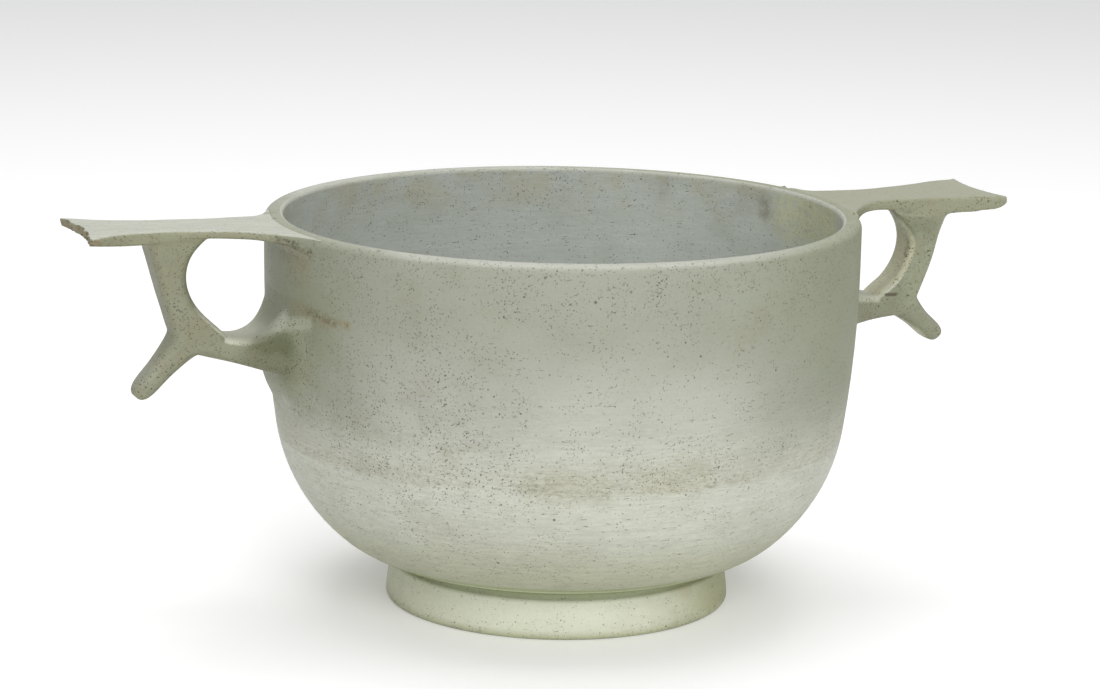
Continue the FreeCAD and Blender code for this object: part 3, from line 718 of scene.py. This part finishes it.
def trim_right(places, normals):
    """Straightens the right plate's underside by its end and lifts the strut's top by the wall."""
    under = np.clip((TRIM_TOP - places[:, 2]) / TRIM_FADE, 0, 1)
    under *= places[:, 2] > RING_MIDDLE
    by_end = np.exp(-(((places[:, 0] - TRIM_PLACE) / TRIM_REACH) ** 2))
    places[:, 2] -= TRIM_DROP * under * by_end
    near_wall = np.clip((LEDGE_END - places[:, 0]) / LEDGE_RUN, 0, 1)
    upward = np.clip(normals[:, 2], 0, 1) * (places[:, 2] < RING_MIDDLE)
    places[:, 2] += LEDGE_RISE * near_wall * upward
    return places


HOLLOW_RADIUS = 2.6 * MM
STRAP_HOLLOW_RADIUS = 12.0 * MM
STRAP_HOLLOW_FOOT = 70.0 * MM
STRAP_HOLLOW_REACH = 9.0 * MM
STRAP_HOLLOW_OUTSIDE = 3.5 * MM
FILL_ROUNDS = 140
SMOOTHING_ROUNDS = 3
SMOOTHING_SHARES = (0.5, -0.52)


def soften(side, places, edges, quads):
    """Fills sharp inner corners until they are hollows, and takes the roughness off the skin."""
    from_strap = np.abs(places[:, 0] - STRAP_TOPS[side].x)
    by_strap = (places[:, 2] > STRAP_HOLLOW_FOOT) & (from_strap < STRAP_HOLLOW_REACH)
    if side == "right":
        by_strap &= places[:, 0] < STRAP_TOPS[side].x + STRAP_HOLLOW_OUTSIDE
    radius = np.where(by_strap, STRAP_HOLLOW_RADIUS, HOLLOW_RADIUS)
    least = GRAIN ** 2 / (4 * radius)
    for _ in range(FILL_ROUNDS):
        normals = outward(places, quads)
        rise = ((neighbour_mean(places, edges) - places) * normals).sum(axis=1)
        places += normals * np.maximum(rise - least, 0)[:, None]
    for _ in range(SMOOTHING_ROUNDS):
        for share in SMOOTHING_SHARES:
            places += (neighbour_mean(places, edges) - places) * share
    return places


CHIPPED_FROM = -96.5 * MM
CHIPPED_FACING = -0.45
CHIP_DEPTH = 1.6 * MM
CHIP_LEVEL = 0.25
# Each grain of the chips is its share, and how many there are to a metre.
CHIP_GRAINS = ((0.6, 420), (0.4, 1100))


def roughen_end(places, normals):
    """Chips the left plate's end, which was broken off and never ground smooth."""
    chipped = (places[:, 0] < CHIPPED_FROM) & (normals[:, 0] < CHIPPED_FACING)
    for number in np.flatnonzero(chipped):
        spot = Vector(places[number])
        chip = sum(share * noise.noise(spot * count) for share, count in CHIP_GRAINS)
        places[number, 0] += CHIP_DEPTH * max(chip + CHIP_LEVEL, 0)
    return places


PLATE_HOLLOW = 1.8 * MM
STRUT_HOLLOW = 4.0 * MM
WEB_DROP = 9.0 * MM
WEB_DEPTH = 2.6 * MM
RIM_GAP = 0.2 * MM
RIM_REACH = 1.2 * MM


def hollow_onto_wall(places, quads):
    """Spreads the handle's roots sideways where they near the wall, as a hollow corner.

    Under the strut they run further down, as a web that keeps its depth on the wall.
    """
    away = np.hypot(places[:, 0], places[:, 1])
    depth = away - wall_radius(places[:, 2])
    out = np.column_stack((places[:, 0] / away, places[:, 1] / away, np.zeros(len(places))))
    normals = outward(places, quads)
    sideways = normals - out * (normals * out).sum(axis=1)[:, None]
    at_strut = places[:, 2] < RING_MIDDLE
    hollow = np.where(places[:, 2] > RING_MIDDLE, PLATE_HOLLOW, STRUT_HOLLOW)
    near = 1 - np.clip(depth / hollow, 0, 1)
    spread = hollow * (1 - np.sqrt(1 - near ** 2)) * near ** 0.5
    underneath = np.clip(-normals[:, 2], 0, 1) * at_strut
    web = WEB_DROP * np.clip(1 - depth / WEB_DEPTH, 0, 1) * underneath
    shift = sideways * np.maximum(spread, web)[:, None]
    below_rim = np.clip((bowl_high.z - RIM_GAP - places[:, 2]) / RIM_REACH, 0, 1)
    shift[:, 2] = np.where(shift[:, 2] > 0, shift[:, 2] * below_rim, shift[:, 2])
    moved = places + shift
    follow = (wall_radius(moved[:, 2]) - wall_radius(places[:, 2])) * near
    follow *= at_strut
    return moved + out * follow[:, None]


# Where each spur is cut from its ring: a place on the cut and the way the cut faces.
SPUR_CUTS = {
    "left": (Vector((-78.8, 0.0, 57.05)) * MM, Vector((4.3, 0.0, 4.8))),
    "right": (Vector((76.45, 0.0, 56.5)) * MM, Vector((-3.8, 0.0, 4.5))),
}
SPUR_CUT_REACH = 6.5 * MM
STRAP_CUT_DROP = Vector((0.0, 0.0, 0.8)) * MM
STRAP_CUT_REACH = 14.0 * MM
UPWARD = Vector((0.0, 0.0, 1.0))


def split_off(form, place, normal, reach):
    """Cuts a form in two along a plane, only where the plane is within reach of a place."""
    near = [face for face in form.faces if (face.calc_center_median() - place).length < reach]
    around = list({edge for face in near for edge in face.edges})
    corners = list({vert for face in near for vert in face.verts})
    whole = corners + around + near
    cut = bmesh.ops.bisect_plane(form, geom=whole, plane_co=place, plane_no=normal)
    edges = [item for item in cut["geom_cut"] if isinstance(item, bmesh.types.BMEdge)]
    bmesh.ops.split_edges(form, edges=edges)


def islands(form):
    """The separate skins of a form, each as a set of its points."""
    unseen = set(form.verts)
    found = []
    while unseen:
        front = [unseen.pop()]
        skin = set(front)
        while front:
            vert = front.pop()
            for edge in vert.link_edges:
                other = edge.other_vert(vert)
                if other in unseen:
                    unseen.discard(other)
                    skin.add(other)
                    front.append(other)
        found.append(skin)
    return found


def lowest(skin):
    """Height of a skin's lowest point."""
    return min(vert.co.z for vert in skin)


def kept_part(form, skin):
    """A copy of one skin of a form, with its open cuts closed."""
    part = form.copy()
    numbers = {vert.index for vert in skin}
    rest = [vert for vert in part.verts if vert.index not in numbers]
    bmesh.ops.delete(part, geom=rest, context="VERTS")
    rims = [edge for edge in part.edges if edge.is_boundary]
    for edge in rims:
        edge.smooth = False
    bmesh.ops.holes_fill(part, edges=rims)
    return part


HANDLE_SIDE = (0.25, 0.26, 0.18, 1)
RIGHT_SIDE = (0.28, 0.305, 0.207, 1)
HANDLE_TOP_LIGHT = (0.435, 0.445, 0.38, 1)
RIGHT_TOP = (0.285, 0.29, 0.207, 1)
HANDLE_EDGE = (0.285, 0.285, 0.185, 1)
# Pale for streaks on the left plate's top, and for the painted highlight on the struts' ledges.
PALE_STREAK_AND_LEDGE_LIGHT = (0.60, 0.61, 0.50, 1)
INNER_CRUST_AND_LIGHT = (0.66, 0.64, 0.47, 1)
HANDLE_UNDER_SHADE = (0.19, 0.20, 0.11, 1)
HANDLE_BROWN = (0.25, 0.22, 0.13, 1)
CHIP_BROWN = (0.23, 0.17, 0.095, 1)
TOP_STRETCH = (0.12, 1.0, 0.5)
HANDLE_LINES = 0.0
EDGE_ROUNDS = 4


def reading(place, name):
    """A number that is stored with the points of the mesh."""
    return place.node("ShaderNodeAttribute", {"attribute_name": name}, output="Fac")


handle_glass, handle_shader, place = glass_material("cast_handle")
height = place.axis(2)
to_right = place.axis(0)
from_axis = place.stretch(1, 1, 0).away((0, 0, 0))
upward = reading(place, "facing_up")
inward = reading(place, "facing_cup")
edge = reading(place, "edge")
on_right = to_right.ramp(-30, 30)
at_plate = height.ramp(73.5, 77.0)

brown = place.clouds(3.0, detail=4.0, rough=0.65).ramp(0.46, 0.66)
tone = (0.45 * brown).blend(on_right.blend(HANDLE_SIDE, RIGHT_SIDE), HANDLE_BROWN)
right_strut = on_right * from_axis.ramp(77, 73) * height.ramp(67, 63)
right_plate = on_right * at_plate
right_spur = on_right * height.ramp(57, 54)
tone = tone.tinted(1 - 0.2 * right_strut - 0.1 * right_plate - 0.12 * right_spur)
# Painted light: the spur's faces that do not look down are painted paler.
spur_top_light = 0.3 * height.ramp(57, 53) * upward.ramp(-0.2, 0.5)
tone = spur_top_light.blend(tone, HANDLE_TOP_LIGHT)
tone = (0.6 * at_plate).blend(tone, HANDLE_EDGE)
tone = (0.5 * edge).blend(tone, HANDLE_EDGE)
# Painted shade: faces that look down are painted darker.
tone = (0.35 * upward.ramp(-0.3, -0.9)).blend(tone, HANDLE_UNDER_SHADE)

streaks = place.stretch(*TOP_STRETCH).clouds(0.8, detail=5.0, rough=0.8)
# Painted highlight: faces that look up are painted paler, where light from above falls on them; on
# the right the top tone stays dark.
top = upward.ramp(0.35, 0.8) * height.ramp(66, 70)
tone = top.blend(tone, on_right.blend(HANDLE_TOP_LIGHT, RIGHT_TOP))
tone = (0.35 * top * streaks.ramp(0.45, 0.75)).blend(tone, HANDLE_BROWN)
tone = (0.3 * top * (1 - on_right) * streaks.ramp(0.5, 0.36)).blend(tone, PALE_STREAK_AND_LEDGE_LIGHT)
# Painted highlight: the up-facing ledge of each strut by the wall is painted pale, though the plate
# above shades it.
ledge_light = upward.ramp(0.25, 0.5) * height.ramp(68, 64) * from_axis.ramp(79, 75)
tone = (0.9 * ledge_light).blend(tone, PALE_STREAK_AND_LEDGE_LIGHT)
# The inner face of the right strap is painted pale: partly a pale crust, partly painted light where
# that face turns away from the lamps.
strap_inside_crust_and_light = 0.9 * on_right * inward.ramp(0.35, 0.7) * height.ramp(77, 74)
tone = strap_inside_crust_and_light.blend(tone, INNER_CRUST_AND_LIGHT)
chipped = to_right.ramp(-96.6, -97.8) * upward.ramp(0.6, 0.3)
tone = (0.8 * chipped * place.clouds(1.2).ramp(0.3, 0.6)).blend(tone, CHIP_BROWN)
# Painted shade and highlights by the left strut's root, as on the wall.
tone = marked(place, tone, PAINTED_SHADE_AND_HIGHLIGHTS)
by_wall = from_axis.ramp(65.5, 60.5) * (1 - top)
tone = by_wall.blend(tone, wall_tone(place))
crowd = 1.6 - 1.3 * upward.ramp(0.4, 0.9)
weather(handle_shader, place, tone, crowd, HANDLE_LINES)

for side in ("left", "right"):
    fused = fused_mesh(side)
    quads = rows(fused.polygons, "vertices", 4, int)
    edges = rows(fused.edges, "vertices", 2, int)
    places = rows(fused.vertices, "co", 3, float)
    if side == "right":
        places = trim_right(places, outward(places, quads))
    places = soften(side, places, edges, quads)
    places = roughen_end(places, outward(places, quads))
    places = hollow_onto_wall(places, quads)
    fused.vertices.foreach_set("co", places.ravel())

    normals = outward(places, quads)
    to_axis = -places[:, :2] / np.hypot(places[:, 0], places[:, 1])[:, None]
    bulge = ((places - neighbour_mean(places, edges)) * normals).sum(axis=1)
    for _ in range(EDGE_ROUNDS):
        bulge = 0.5 * bulge + 0.5 * neighbour_mean(bulge[:, None], edges)[:, 0]
    readings = {
        "facing_up": normals[:, 2],
        "facing_cup": (normals[:, :2] * to_axis).sum(axis=1),
        "edge": np.clip(bulge * HOLLOW_RADIUS / GRAIN ** 2, 0, 1),
    }
    for name, values in readings.items():
        layer = fused.attributes.new(name, "FLOAT", "POINT")
        layer.data.foreach_set("value", values.astype(np.float32))

    form = bmesh.new()
    form.from_mesh(fused)
    split_off(form, *SPUR_CUTS[side], SPUR_CUT_REACH)
    split_off(form, STRAP_TOPS[side] - STRAP_CUT_DROP, UPWARD, STRAP_CUT_REACH)
    form.verts.index_update()
    skins = sorted(islands(form), key=lowest)
    for kind, skin in zip(("spur", "finger_ring", "thumb_plate"), skins):
        name = "%s_%s" % (side, kind)
        finished_piece(name + "_glass", kept_part(form, skin), (handle_glass,), name)
    form.free()
